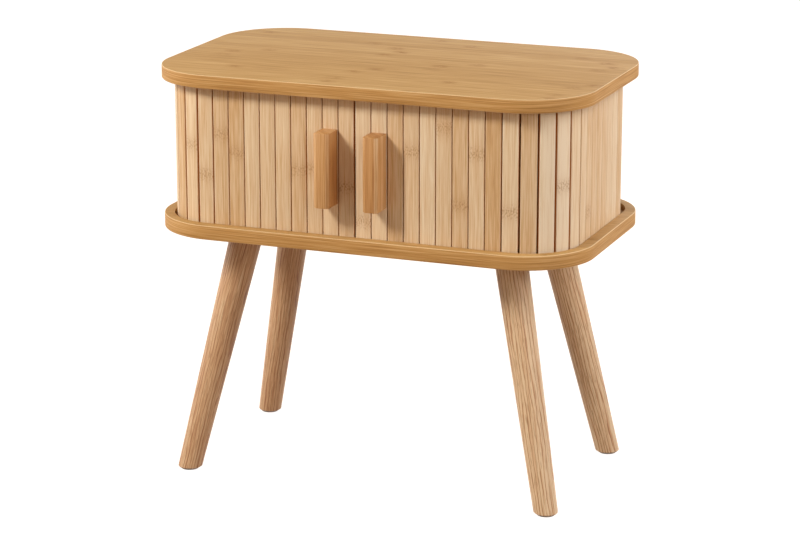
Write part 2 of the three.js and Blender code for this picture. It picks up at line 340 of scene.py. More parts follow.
in_strip = add_node(tree, "MapRange", {
    "Value": from_seam, "From Min": 0.05, "From Max": 0.35,
}, interpolation_type="SMOOTHSTEP")
dashes = fibre_streaks(tree, place, *BOARD_DASH, start=9.0, detail=2.0)
dashes = add_node(tree, "MapRange", {
    "Value": dashes, "From Min": 0.36, "From Max": 0.56,
}, interpolation_type="SMOOTHSTEP")
mark = add_node(tree, "Math", [near_node, dashes], operation="MULTIPLY")
mark = add_node(tree, "Math", [mark, in_strip], operation="MULTIPLY")
strength = add_node(tree, "Math", [lucks[2], 0.45, 0.5], operation="MULTIPLY_ADD")
mark = add_node(tree, "Math", [mark, strength], operation="MULTIPLY")
board_colour = add_node(tree, "Mix", {
    COVER: mark, UNDER: wood, OVER: linear("96672C"),
}, data_type="RGBA")
set_surface(tree, shader, board_colour.outputs[MIXED], fine, 0.04)
print(board_bamboo.name, "has", len(tree.nodes), "nodes")

# %% [markdown]
# ## Material: bamboo edge
# Round the edge of a board the cut layers show as fine lines, a little deeper and more orange than
# the faces, that run on round the corners. The rounded arris above them is drawn pale, as a
# painted highlight.

# %% Make the edge material
EDGE_LAYER = (1.0, 90.0)
EDGE_CLOUD = (3.5, 150.0)

edge_bamboo, tree, shader = start_material("matt_lacquered_bamboo_edge", 0.6, IOR=1.5,
                                           Specular_IOR_Level=0.3)
place, _, arris = read_grain(tree, "painted_edge_light_and_shade")
fine = fibre_streaks(tree, place, *EDGE_LAYER)
broad = fibre_streaks(tree, place, *EDGE_CLOUD, start=4.0, detail=2.0)
level = vary(tree, 0.45, (fine, 1.6), (broad, 0.5))
wood = add_node(tree, "ValToRGB", [level], stops=[
    (0.1, "996B35"), (0.4, "BD8A4B"), (0.6, "CC9D60"), (0.9, "DDB47C"),
])
# The rounded arris is mixed toward a pale colour: a painted highlight.
edge_colour = add_node(tree, "Mix", {
    COVER: arris, UNDER: wood, OVER: linear("EFD0A0"),
}, data_type="RGBA")
set_surface(tree, shader, edge_colour.outputs[MIXED], fine, 0.04)
print(edge_bamboo.name, "has", len(tree.nodes), "nodes")

# %% [markdown]
# ## Material: bamboo handle block
# A handle is a short block glued up from narrow bamboo strips, so its faces show upright strips a
# few millimetres wide, in honey tones, with fibre lines along them.

# %% Make the handle material
HANDLE_STRIP = 5.5
HANDLE_FIBRE = (1.1, 50.0)

handle_bamboo, tree, shader = start_material("lacquered_bamboo_block", 0.5, IOR=1.5)
place, axes, tone = read_grain(tree, "grain_tone_and_painted_light")
strips = add_node(tree, "Math", [axes[0], axes[1]], operation="ADD")
strips = add_node(tree, "Math", [strips, 1 / HANDLE_STRIP], operation="MULTIPLY")
strip = add_node(tree, "Math", [strips], operation="FLOOR")
strip_luck = add_node(tree, "TexWhiteNoise", {"W": strip}, noise_dimensions="1D")
fine = fibre_streaks(tree, place, *HANDLE_FIBRE)
level = vary(tree, tone, (strip_luck, 0.25), (fine, 0.9))
wood = add_node(tree, "ValToRGB", [level], stops=[
    (0.15, "A66E38"), (0.35, "BE874C"), (0.55, "CE9C64"), (0.75, "E2BC8C"), (0.95, "F6DFB4"),
])
set_surface(tree, shader, wood, fine, 0.05)
print(handle_bamboo.name, "has", len(tree.nodes), "nodes")

# %% [markdown]
# ## Material: turned leg wood
# The legs are turned from a pale solid wood with a strong straight grain. A tree lays down a ring
# each year, and a leg cut beside the heart shows the rings as long, slightly wavy lines 2 to 4 mm
# apart, with short darker pores. Rings round a heart outside the leg give just that.

# %% Make the leg material
RING_SPACING = 3.5
RING_SWAY = (16.0, 90.0)
RING_SWAY_REACH = 9.0
HEART_AWAY = 70.0
LEG_FIBRE = (1.2, 60.0)
LEG_CLOUD = (6.0, 200.0)
PORE = (0.9, 16.0)
EARLY_WOOD_LIFT = 0.2
LATE_WOOD_DROP = 0.8

leg_wood, tree, shader = start_material("lacquered_turned_hardwood", 0.5, IOR=1.5)
place, axes, tone = read_grain(tree, "grain_tone_and_painted_light")
sway = fibre_streaks(tree, place, *RING_SWAY, detail=2.0)
heart_x = add_node(tree, "Math", [axes[0], HEART_AWAY], operation="ADD")
heart_x = add_node(tree, "Math", [sway, RING_SWAY_REACH, heart_x], operation="MULTIPLY_ADD")
square_x = add_node(tree, "Math", [heart_x, heart_x], operation="MULTIPLY")
square = add_node(tree, "Math", [axes[1], axes[1], square_x], operation="MULTIPLY_ADD")
away = add_node(tree, "Math", [square], operation="SQRT")
rings = add_node(tree, "Math", [away, 1 / RING_SPACING], operation="MULTIPLY")
rings = add_node(tree, "Math", [rings], operation="FRACT")
late_wood = add_node(tree, "MapRange", {
    "Value": rings, "From Min": 0.55, "From Max": 0.95,
}, interpolation_type="SMOOTHSTEP")
fine = fibre_streaks(tree, place, *LEG_FIBRE)
broad = fibre_streaks(tree, place, *LEG_CLOUD, start=2.0, detail=1.0)
pores = fibre_streaks(tree, place, *PORE, start=6.0, detail=1.0)
late_wood = add_node(tree, "Math", [late_wood, tone], operation="MULTIPLY")
level = add_node(tree, "Math", [tone, EARLY_WOOD_LIFT], operation="ADD")
level = add_node(tree, "Math", [late_wood, -LATE_WOOD_DROP, level], operation="MULTIPLY_ADD")
level = vary(tree, level, (fine, 1.2), (broad, 0.4))
wood = add_node(tree, "ValToRGB", [level], stops=[
    (0.1, "965E38"), (0.4, "BE8E64"), (0.6, "D2A87D"), (0.9, "E4C69E"),
])
pore_cover = add_node(tree, "MapRange", {
    "Value": pores, "From Min": 0.53, "From Max": 0.66, "To Max": 0.5,
}, interpolation_type="SMOOTHSTEP")
leg_colour = add_node(tree, "Mix", {
    COVER: pore_cover, UNDER: wood, OVER: linear("9A6A40"),
}, data_type="RGBA")
set_surface(tree, shader, leg_colour.outputs[MIXED], fine, 0.06)
print(leg_wood.name, "has", len(tree.nodes), "nodes")

# %% [markdown]
# ## Materials that hide
# Behind the slats lies the canvas that hinges them, a plain weave of cotton glued on. Its threads
# are half a millimetre apart, too fine to show, so they are drawn three times as coarse. The inner
# panels are bamboo ply, flatter and paler than the boards. Small moulded pads of light grey
# polyethylene, IOR about 1.51, sit under the feet, and zinc-plated bolts hold the legs.

# %% Make the canvas, panel, pad and zinc materials
THREAD_SPACING = 1.5
SLUB = (2.0, 12.0)
PLY_FIBRE = (1.4, 90.0)
PLY_CLOUD = (14.0, 300.0)

canvas_cotton, tree, shader = start_material("plain_weave_cotton_canvas", 0.95)
place, axes = read_grain(tree)
threads = []
for axis in (axes[0], axes[2]):
    turn = add_node(tree, "Math", [axis, 2 * math.pi / THREAD_SPACING], operation="MULTIPLY")
    threads.append(add_node(tree, "Math", [turn], operation="SINE"))
weave = add_node(tree, "Math", threads, operation="MULTIPLY")
slub = fibre_streaks(tree, place, *SLUB)
level = add_node(tree, "Math", [weave, 0.18, slub], operation="MULTIPLY_ADD")
# The brown is the canvas's own, drawn darker and redder as painted shade in the gaps between slats.
cloth = add_node(tree, "ValToRGB", [level], stops=[
    (0.2, "744C26"), (0.5, "906438"), (0.8, "A87A4A"),
])
set_surface(tree, shader, cloth, weave, 0.15)

panel_bamboo, tree, shader = start_material("bamboo_ply_panel", 0.5, IOR=1.5)
place, _ = read_grain(tree)
fine = fibre_streaks(tree, place, *PLY_FIBRE)
broad = fibre_streaks(tree, place, *PLY_CLOUD, start=5.0, detail=2.0)
level = vary(tree, 0.5, (fine, 1.0), (broad, 0.6))
wood = add_node(tree, "ValToRGB", [level], stops=[
    (0.2, "BB9058"), (0.5, "CBA474"), (0.85, "DABA8C"),
])
set_surface(tree, shader, wood, fine, 0.04)

pad_plastic, tree, shader = start_material("moulded_grey_polyethylene", 0.45, IOR=1.51)
where = add_node(tree, "TexCoord").outputs["Object"]
scuffs = add_node(tree, "TexNoise", {"Vector": where, "Scale": 700.0, "Detail": 4.0})
plastic = add_node(tree, "ValToRGB", [scuffs], stops=[(0.3, "96938C"), (0.7, "B2AFA8")])
set_surface(tree, shader, plastic, scuffs, 0.05)

bolt_zinc, tree, shader = start_material("zinc_plated_steel", 0.35, Metallic=1.0)
where = add_node(tree, "TexCoord").outputs["Object"]
bloom = add_node(tree, "TexNoise", {"Vector": where, "Scale": 220.0, "Detail": 3.0})
plating = add_node(tree, "ValToRGB", [bloom], stops=[(0.3, "9FA3A6"), (0.7, "C4C7C9")])
set_surface(tree, shader, plating, bloom, 0.02)
print("hidden finishes:", canvas_cotton.name, panel_bamboo.name, pad_plastic.name, bolt_zinc.name)

# %% [markdown]
# ## Building shells
# Every piece here is a shell of rings: the same closed outline at a few heights, drawn in a little
# where an edge is rounded. Rings give clean strips of faces round a corner, as a bevel on a box
# never would. Large faces stay flat, and small ones are shaded smooth.

# %% Shell helpers
SMALL_FACE = 1.2e-4
SHARP_ANGLE = 35
ARRIS_STEPS = 3
QUARTER_TURNS = [math.pi / 2 * step / ARRIS_STEPS for step in range(ARRIS_STEPS + 1)]


def make_shell(name, rings, *materials):
    """Joins closed rings of points into one shell with flat ends, and gives it its materials."""
    shape = bmesh.new()
    loops = [[shape.verts.new(point) for point in ring] for ring in rings]
    for lower, upper in zip(loops, loops[1:]):
        for this in range(len(lower)):
            after = (this + 1) % len(lower)
            shape.faces.new((lower[this], lower[after], upper[after], upper[this]))
    shape.faces.new(reversed(loops[0]))
    shape.faces.new(loops[-1])
    bmesh.ops.recalc_face_normals(shape, faces=shape.faces)
    mesh = bpy.data.meshes.new(name)
    shape.to_mesh(mesh)
    shape.free()
    for material in materials:
        mesh.materials.append(material)
    return put_in_scene(name, mesh)


def reshape(piece, kind, **settings):
    """Adds a modifier with its settings, and turns the result into plain mesh."""
    modifier = piece.modifiers.new(kind, kind)
    for name, value in settings.items():
        setattr(modifier, name, value)
    looked_at = piece.evaluated_get(bpy.context.evaluated_depsgraph_get())
    mesh = bpy.data.meshes.new_from_object(looked_at)
    piece.modifiers.clear()
    piece.data = mesh


def shade(piece):
    """Smooth shading for small faces, flat for large ones."""
    for face in piece.data.polygons:
        face.use_smooth = face.area < SMALL_FACE
    piece.data.set_sharp_from_angle(angle=math.radians(SHARP_ANGLE))


def rounded_edge(low, high, radius):
    """Insets and heights from the underside to the top of a piece with rounded arrises."""
    lower = [(radius * (1 - math.sin(turn)), low + radius * (1 - math.cos(turn)))
             for turn in QUARTER_TURNS]
    return lower + [(inset, high + low - height) for inset, height in reversed(lower)]


def circle(middle_x, middle_y, radius, sides):
    """Points round a circle, anticlockwise."""
    turns = [2 * math.pi * step / sides for step in range(sides)]
    return [(middle_x + radius * math.cos(t), middle_y + radius * math.sin(t)) for t in turns]


print("small faces are under", round(SMALL_FACE / MM / MM), "square millimetres")

# %% [markdown]
# ## The sizes of the case
# The boards and the track of the slats share these sizes. The slats' canvas is a chain of flat
# links, one slat pitch long, and its joints lie on a rounded rectangle. A shut door takes up half
# the front, one corner and one side, and 22 slats share that length.

# %% Sizes and the joints of the track
WIDTH = 500.0
DEPTH = 300.0
HEIGHT = 465.0
OVERHANG = 14.0
TOP_THICKNESS = 15.0
BASE_THICKNESS = 16.0
CLEAR_HEIGHT = 153.0
SLAT_GAP = 1.0
SLAT_THICKNESS = 4.6
CANVAS_THICKNESS = 0.7
SLAT_ARRIS = 0.9
MEETING_GAP = 1.0
TRACK_RADIUS = 60.0
SLATS_PER_DOOR = 22
LEAD_SLATS = 3
SLATS_OF_TRAVEL = 6
CLOSE_ENOUGH = 1e-9

top_underside = HEIGHT - TOP_THICKNESS
base_top = top_underside - CLEAR_HEIGHT
base_underside = base_top - BASE_THICKNESS
slat_depth = SLAT_THICKNESS + CANVAS_THICKNESS
front_straight = WIDTH / 2 - OVERHANG - slat_depth - TRACK_RADIUS
side_straight = DEPTH / 2 - OVERHANG - slat_depth - TRACK_RADIUS
quarter_turn = TRACK_RADIUS * math.pi / 2
door_length = front_straight - MEETING_GAP / 2 + quarter_turn + 2 * side_straight
slat_pitch = door_length / SLATS_PER_DOOR
corner_radius = TRACK_RADIUS + slat_depth + OVERHANG


def track_point(distance):
    """A point on the right door's hinge line, by the way along it from the middle of the front."""
    if distance <= front_straight:
        return Vector((distance, -side_straight - TRACK_RADIUS))
    distance -= front_straight
    if distance <= quarter_turn:
        turn = distance / TRACK_RADIUS
        return Vector((front_straight + TRACK_RADIUS * math.sin(turn),
                       -side_straight - TRACK_RADIUS * math.cos(turn)))
    distance -= quarter_turn
    if distance <= 2 * side_straight:
        return Vector((front_straight + TRACK_RADIUS, distance - side_straight))
    distance -= 2 * side_straight
    if distance <= quarter_turn:
        turn = distance / TRACK_RADIUS
        return Vector((front_straight + TRACK_RADIUS * math.cos(turn),
                       side_straight + TRACK_RADIUS * math.sin(turn)))
    return Vector((front_straight + quarter_turn - distance, side_straight + TRACK_RADIUS))


def chain_joints(count):
    """Steps along the track by chords of one pitch, by halving the way to each next joint."""
    distance = MEETING_GAP / 2
    joints = [track_point(distance)]
    while len(joints) < count:
        near, far = distance, distance + 2 * slat_pitch
        while far - near > CLOSE_ENOUGH:
            middle = (near + far) / 2
            if (track_point(middle) - joints[-1]).length < slat_pitch:
                near = middle
            else:
                far = middle
        distance = near
        joints.append(track_point(distance))
    return joints


joints = chain_joints(SLATS_PER_DOOR + SLATS_OF_TRAVEL + 1)
print("slat pitch", round(slat_pitch, 3), "corner radius", round(corner_radius, 2))

# %% [markdown]
# ## The boards
# Both boards have the same outline, with their arrises sanded round. A groove in each guides the
# ends of the slats, and it stops behind the last slat of an open door. A shallower channel houses
# the three inner panels. Both are cut out with a boolean, as a router would cut them.

# %% Outlines and cutters for the boards
BOARD_ARRIS = 1.2
CORNER_STEPS = 40
GROOVE_DEPTH = 5.5
GROOVE_OUTER_GAP = 0.8
GROOVE_INNER_GAP = 1.2
GROOVE_CORNER_EASE = 6.0
GROOVE_STOP_GAP = 1.0
BOX_SIDE_ROOM = 28.0
BOX_END_ROOM = 21.0
SIDE_PANEL_THICKNESS = 12.0
BACK_PANEL_THICKNESS = 9.0
HOUSING_DEPTH = 4.0
TOUCH_GAP = 0.3
CUT_PAST = 2.0

track_half_width = front_straight + TRACK_RADIUS
track_half_depth = side_straight + TRACK_RADIUS
slat_face_y = track_half_depth + slat_depth
box_half_width = track_half_width - BOX_SIDE_ROOM
box_half_depth = track_half_depth - BOX_END_ROOM


def rounded_rectangle(half_x, half_y, radius, first=0):
    """Points round the four corners, anticlockwise; corner 0 is the rear right one."""
    points = []
    for corner in range(first, first + 4):
        sign_x = 1 if corner % 4 in (0, 3) else -1
        sign_y = 1 if corner % 4 in (0, 1) else -1
        for step in range(CORNER_STEPS + 1):
            turn = (corner + step / CORNER_STEPS) * math.pi / 2
            points.append((sign_x * (half_x - radius) + radius * math.cos(turn),
                           sign_y * (half_y - radius) + radius * math.sin(turn)))
    return points


def prism(name, outline, low, high, *materials):
    """An upright shell with straight sides."""
    return make_shell(name, [[spot(x, y, z) for x, y in outline] for z in (low, high)], *materials)


def cut_out(piece, cutter):
    """Cuts one shell out of another and throws the cutter away."""
    reshape(piece, "BOOLEAN", operation="DIFFERENCE", solver="EXACT", object=cutter)
    bpy.data.objects.remove(cutter)


def groove_side(out, ease=0.0):
    """A side of the groove, this far out from the hinge line, from its rear left end round."""
    return rounded_rectangle(track_half_width + out, track_half_depth + out,
                             TRACK_RADIUS + out - ease, first=1)


groove_outer = groove_side(slat_depth + GROOVE_OUTER_GAP, GROOVE_CORNER_EASE)
groove_inner = groove_side(-GROOVE_INNER_GAP)
groove_end = joints[-1].x - GROOVE_STOP_GAP
groove_outline = (
    [(-groove_end, groove_outer[0][1])] + groove_outer + [(groove_end, groove_outer[-1][1])]
    + [(groove_end, groove_inner[-1][1])] + groove_inner[::-1] + [(-groove_end, groove_inner[0][1])]
)
channel_x = box_half_width - SIDE_PANEL_THICKNESS - TOUCH_GAP
channel_y = box_half_depth - BACK_PANEL_THICKNESS - TOUCH_GAP
side_x = box_half_width + TOUCH_GAP
end_y = box_half_depth + TOUCH_GAP
housing_outline = [
    (-side_x, -end_y), (-channel_x, -end_y), (-channel_x, channel_y), (channel_x, channel_y),
    (channel_x, -end_y), (side_x, -end_y), (side_x, end_y), (-side_x, end_y),
]
print("groove outline has", len(groove_outline), "points")

# %% [markdown]
# The grain of a board's faces runs along X. The lines of its edge run round the board, so the grain
# place there is measured along the outline.

# %% Grain for a board
BOARD_ARRIS_FACING = 0.3
# Arris faces get this share of the pale colour, a painted highlight.
BOARD_ARRIS_HIGHLIGHT = 0.75
LEVEL_FACING = 0.95

straight_x = WIDTH / 2 - corner_radius
straight_y = DEPTH / 2 - corner_radius
quarter_way = straight_x + corner_radius * math.pi / 2 + straight_y


def way_round(x, y):
    """Distance round a board's outline, from the middle of its front, for a point near its edge."""
    turn = math.atan2(max(abs(x) - straight_x, 0.0), max(abs(y) - straight_y, 0.0))
    from_middle = min(abs(x), straight_x) + turn * corner_radius
    from_middle += (straight_y - min(abs(y), straight_y)) if abs(x) > straight_x else 0.0
    way = from_middle if y < 0 else 2 * quarter_way - from_middle
    return way if x >= 0 else -way


def board_grain(point, face):
    """Across, through and along: the face's grain runs along X, the edge's runs round."""
    if face.material_index == 0:
        return point.y, point.z, point.x
    way = way_round(point.x, point.y)
    middle = face.center / MM
    middle_way = way_round(middle.x, middle.y - BOARD_MIDDLE_Y)
    laps = round((middle_way - way) / (4 * quarter_way))
    return point.z, 0.0, way + laps * 4 * quarter_way


def board_arris_highlight(face):
    """How much painted highlight a face gets: only the rounded arris gets it, which looks partly up
    or down.
    """
    on_arris = face.material_index == 1 and abs(face.normal.z) > BOARD_ARRIS_FACING
    return BOARD_ARRIS_HIGHLIGHT if on_arris else 0.0


def make_board(name, node, low, high, cutters):
    """A board with rounded arrises, its cuts, its two materials and its grain."""
    rings = []
    for inset, height in rounded_edge(low, high, BOARD_ARRIS):
        outline = rounded_rectangle(WIDTH / 2 - inset, DEPTH / 2 - inset, corner_radius - inset)
        rings.append([spot(x, y, height) for x, y in outline])
    board = make_shell(name, rings, board_bamboo, edge_bamboo)
    for outline, from_z, to_z in cutters:
        cut_out(board, prism("cutter", outline, from_z, to_z))
    for face in board.data.polygons:
        middle = face.center / MM
        x, y = abs(middle.x), abs(middle.y - BOARD_MIDDLE_Y)
        corner = math.hypot(max(x - straight_x, 0.0), max(y - straight_y, 0.0))
        rim = 2 * BOARD_ARRIS
        outside = x > WIDTH / 2 - rim or y > DEPTH / 2 - rim or corner > corner_radius - rim
        face.material_index = 1 if outside and abs(face.normal.z) < LEVEL_FACING else 0
    shade(board)
    write_grain(board, board_grain, painted_edge_of=board_arris_highlight)
    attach(board, "carcass")
    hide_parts(node)
    return board


# %% Make both boards
LEG_TOP_IN_X = 95.5
LEG_TOP_IN_Y = 79.5
BOLT_HOLE_RADIUS = 4.35
BOLT_HOLE_HEIGHT = 12.0
BOLT_HOLE_SIDES = 24

bolt_x = WIDTH / 2 - LEG_TOP_IN_X
bolt_y = DEPTH / 2 - LEG_TOP_IN_Y
bolt_holes = []
for x, y in ((-bolt_x, -bolt_y), (-bolt_x, bolt_y), (bolt_x, -bolt_y), (bolt_x, bolt_y)):
    hole = circle(x, y, BOLT_HOLE_RADIUS, BOLT_HOLE_SIDES)
    bolt_holes.append((hole, base_underside - CUT_PAST, base_underside + BOLT_HOLE_HEIGHT))
top = make_board("top_board_dressed", "top_board", top_underside, HEIGHT, [
    (groove_outline, top_underside - CUT_PAST, top_underside + GROOVE_DEPTH),
    (housing_outline, top_underside - CUT_PAST, top_underside + HOUSING_DEPTH),
])
base = make_board("base_board_dressed", "base_board", base_underside, base_top, [
    (groove_outline, base_top - GROOVE_DEPTH, base_top + CUT_PAST),
    (housing_outline, base_top - HOUSING_DEPTH, base_top + CUT_PAST),
    *bolt_holes,
])
print("board faces:", len(top.data.polygons), len(base.data.polygons))

# %% [markdown]
# ## The slats
# A slat is a flat strip with its two front arrises sanded round, and those arrises carry a painted
# highlight. The real ones come from many stems, so neighbours differ in tone, and some show a bamboo
# node. Tones are letters, for bright, pale, fair, middling, nutty and warm, one for each slat from
# the meeting line to the tail. The tones also paint light: on the right door, slats 12 and 13 on the
# corner are painted brightest, and the side slats 14 to 19 darker. Nodes are heights above the floor.
# Those of slats that the photograph doesn't show are drawn by chance.

# %% Tones and bamboo nodes
TONES = {"b": 1.0, "p": 0.77, "f": 0.64, "m": 0.5, "n": 0.43, "w": 0.36}
# Besides each slat's own tone, the right door's letters paint light: brightest at the corner, darker
# along the side.
SLAT_TONE_AND_LIGHT_LETTERS = {
    "left": "fffmfffnmffwfnpfmfpmfm",
    "right": "ppmfpfmfwpmbbpfmmmmfpm",
}
NODE_HEIGHTS = {
    "left": {1: 352.0, 3: 370.0, 4: 366.0, 8: 379.0, 9: 398.0, 10: 351.0, 11: 382.0},
    "right": {1: 315.0, 4: 397.0, 6: 426.0, 7: 344.0, 8: 401.0, 10: 340.0, 13: 367.0},
}
NODE_LOWEST = 310.0
NODE_HIGHEST = 440.0
NODE_SHARE = 0.35
NODE_SEED = 41
FIRST_UNSEEN = 15

chance = random.Random(NODE_SEED)
node_heights = {}
for side in ("left", "right"):
    for number in range(1, SLATS_PER_DOOR + 1):
        drawn = NO_NODE
        if chance.random() < NODE_SHARE:
            drawn = chance.uniform(NODE_LOWEST, NODE_HIGHEST)
        unlisted = NO_NODE if number < FIRST_UNSEEN else drawn
        node_heights[side, number] = NODE_HEIGHTS[side].get(number, unlisted)
print("slats with a node:", sum(height > 0 for height in node_heights.values()))

# %% [markdown]
# Each slat is built on its own link of the track: across is the way along the link, and out is the
# way off it. The left door mirrors the right one.

# %% Make the slats and their canvas
SLAT_FLOOR_GAP = 0.4
SLAT_ROOF_GAP = 1.1
CANVAS_SHORT = 9.0
SLAT_GRAIN_APART = 137.0
RIGHT_GRAIN_FROM = 30
SAWN_FACING = 0.99
ARRIS_FACING = 0.2
# Faces that look sideways, the rounded arrises, are painted paler by this much: a painted highlight
# beside each gap.
ARRIS_PAINTED_HIGHLIGHT = 0.12

slat_low = base_top - GROOVE_DEPTH + SLAT_FLOOR_GAP
slat_high = top_underside + GROOVE_DEPTH - SLAT_ROOF_GAP
slat_half = (slat_pitch - SLAT_GAP) / 2


def slat_section():
    """Across and out, round a slat's section: two broken arrises in front, square behind."""
    right = [(slat_half - SLAT_ARRIS + SLAT_ARRIS * math.cos(turn),
              slat_depth - SLAT_ARRIS + SLAT_ARRIS * math.sin(turn)) for turn in QUARTER_TURNS]
    left = [(-across, out) for across, out in reversed(right)]
    return [(slat_half, CANVAS_THICKNESS), *right, *left, (-slat_half, CANVAS_THICKNESS)]


def link_axes(side, start, end):
    """The side's sign, and a link's middle and its directions along and outward."""
    along = (end - start).normalized()
    return (1 if side == "right" else -1), (start + end) / 2, along, Vector((along.y, -along.x))


def link_shell(name, side, start, end, outline, low, high, material):
    """A shell that stands on the track between two joints, from its outline across and out."""
    sign, middle, along, outward = link_axes(side, start, end)
    points = [middle + along * across + outward * out for across, out in outline]
    rings = [[spot(sign * point.x, point.y, height) for point in points] for height in (low, high)]
    return make_shell(name, rings, material)


def link_grain(side, start, end, shift):
    """Grain of a piece on a link: fibres run up it."""
    sign, middle, along, outward = link_axes(side, start, end)

    def place_of(point, face):
        offset = Vector((sign * point.x, point.y)) - middle
        return offset.dot(along) + shift, offset.dot(outward), point.z

    return place_of


def sideways_of(side, start, end):
    """How far a face of a slat looks sideways: one on its sawn sides, none on its front."""
    sign, _, along, _ = link_axes(side, start, end)
    return lambda face: abs(sign * along.x * face.normal.x + along.y * face.normal.y)


def node_and_body(side, first):
    """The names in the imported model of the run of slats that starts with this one."""
    if first == 1:
        return f"{side}_door_lead_slats", f"{side}_door_lead"
    name = f"{side}_door_slat_{first:02d}"
    return name, name


slat_runs = [(1, LEAD_SLATS)] + [(n, n) for n in range(LEAD_SLATS + 1, SLATS_PER_DOOR + 1)]
for side in ("left", "right"):
    for first, last in slat_runs:
        node, body = node_and_body(side, first)
        for number in range(first, last + 1):
            start, end = joints[number - 1], joints[number]
            slat = link_shell(f"{side}_slat_{number:02d}", side, start, end, slat_section(),
                              slat_low, slat_high, slat_bamboo)
            shade(slat)
            shift = SLAT_GRAIN_APART * (number + (RIGHT_GRAIN_FROM if side == "right" else 0))
            tone = TONES[SLAT_TONE_AND_LIGHT_LETTERS[side][number - 1]]
            sideways = sideways_of(side, start, end)
            # The tone of sideways faces carries a painted highlight on the arrises, and the sawn
            # sides get painted shade.
            write_grain(slat, link_grain(side, start, end, shift),
                        tone_and_light_of=lambda face: tone + ARRIS_PAINTED_HIGHLIGHT * (sideways(face) > ARRIS_FACING),
                        node_height=node_heights[side, number],
                        painted_edge_of=lambda face: float(sideways(face) > SAWN_FACING))
            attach(slat, body)
            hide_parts(node)
        start, end = joints[first - 1], joints[last]
        half = (end - start).length / 2 - TOUCH_GAP / 2
        strip = [(half, 0.0), (half, CANVAS_THICKNESS), (-half, CANVAS_THICKNESS), (-half, 0.0)]
        canvas = link_shell(f"{side}_canvas_{first:02d}_{last:02d}", side, start, end, strip,
                            slat_low + CANVAS_SHORT, slat_high - CANVAS_SHORT, canvas_cotton)
        write_grain(canvas, link_grain(side, start, end, 0.0))
        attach(canvas, body)
print("slats:", 2 * SLATS_PER_DOOR)

# %% [markdown]
# ## The handles
# Each handle is an upright block on the second slat, with its two upright front edges chamfered
# wide. The other edges are only broken by sandpaper, which a narrow bevel gives.

# %% Make the handles
HANDLE_WIDTH = 17.5
HANDLE_DEPTH = 27.5
HANDLE_HEIGHT = 82.0
HANDLE_CHAMFER = 3.4
HANDLE_SLAT = 2
HANDLE_ARRIS = 0.5
# The tones of a handle's faces paint light and shade: the chamfers are painted paler as highlights,
# the left handle's right side darker as the shade of the right handle, and the right handle's side
# paler where it is lit. The fronts keep their own tone.
HANDLE_TONES_AND_PAINTED_LIGHT = {"left": (0.43, 0.5, 0.55, 0.3), "right": (0.34, 0.5, 0.7, 0.62)}
CHAMFER_FACING = 0.4
SIDE_FACING = 0.9
BEVEL_FROM_ANGLE = 20


def break_edges(piece, width):
    """Bevels every edge of a piece a little."""
    reshape(piece, "BEVEL", width=width * MM, segments=2, limit_method="ANGLE",
            angle_limit=math.radians(BEVEL_FROM_ANGLE))


handle_x = joints[0].x + (HANDLE_SLAT - 0.5) * slat_pitch
handle_back = -slat_face_y - TOUCH_GAP
handle_front = handle_back - HANDLE_DEPTH
handle_low = (base_top + top_underside - HANDLE_HEIGHT) / 2
half = HANDLE_WIDTH / 2
chamfer_end = handle_front + HANDLE_CHAMFER
handle_outline = [
    (half, handle_back), (-half, handle_back), (-half, chamfer_end),
    (-half + HANDLE_CHAMFER, handle_front), (half - HANDLE_CHAMFER, handle_front),
    (half, chamfer_end),
]
for side, sign in (("left", -1), ("right", 1)):
    outline = [(sign * handle_x + x, y) for x, y in handle_outline]
    handle = prism(f"{side}_handle", outline, handle_low, handle_low + HANDLE_HEIGHT, handle_bamboo)
    break_edges(handle, HANDLE_ARRIS)
    shade(handle)
    front_tone, left_chamfer_highlight, right_chamfer_highlight, side_painted_light_and_shade = HANDLE_TONES_AND_PAINTED_LIGHT[side]

    # Faces are sorted by how far they look sideways, for their painted light and shade.
    def face_tone_and_painted_light(face):
        if face.normal.x > SIDE_FACING:
            return side_painted_light_and_shade
        if face.normal.x > CHAMFER_FACING:
            return right_chamfer_highlight
        if -SIDE_FACING < face.normal.x < -CHAMFER_FACING:
            return left_chamfer_highlight
        return front_tone

    write_grain(handle, lambda point, face: (point.x, point.y, point.z), tone_and_light_of=face_tone_and_painted_light)
    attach(handle, f"{side}_door_lead")
    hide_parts(f"{side}_door_handle")
print("handles reach", round(-handle_front - DEPTH / 2, 1), "mm past the boards")

# %% [markdown]
# ## The inner panels
# The side and back panels are plain boards that stand in their channels. Their places come straight
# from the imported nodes, and only their edges are broken.

# %% Make the panels
PANEL_ARRIS = 0.8


def panel_outline(node):
    """The outline of a panel seen from above, in millimetres, and its two heights."""
    low, high = (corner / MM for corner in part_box(node))
    low_y, high_y = low.y - BOARD_MIDDLE_Y, high.y - BOARD_MIDDLE_Y
    outline = [(low.x, low_y), (high.x, low_y), (high.x, high_y), (low.x, high_y)]
    return outline, low.z, high.z


for node in ("left_side_panel", "right_side_panel", "back_panel"):
    outline, low, high = panel_outline(node)
    panel = prism(f"{node}_dressed", outline, low, high, panel_bamboo)
    break_edges(panel, PANEL_ARRIS)
    if node == "back_panel":
        write_grain(panel, lambda point, face: (point.z, point.y, point.x))
    else:
        write_grain(panel, lambda point, face: (point.z, point.x, point.y))
    shade(panel)
    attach(panel, "carcass")
    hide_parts(node)
print("panels stand from", round(low, 1), "to", round(high, 1), "mm")

# %% [markdown]
# ## The legs
# A leg is a round taper on a leaning axis, cut level at the top, where it meets the board, and at
# the foot. Each of its side lines runs from the top to the foot, and a ring is where all of them
# reach one height. The foot has a small chamfer that keeps it from splitting.

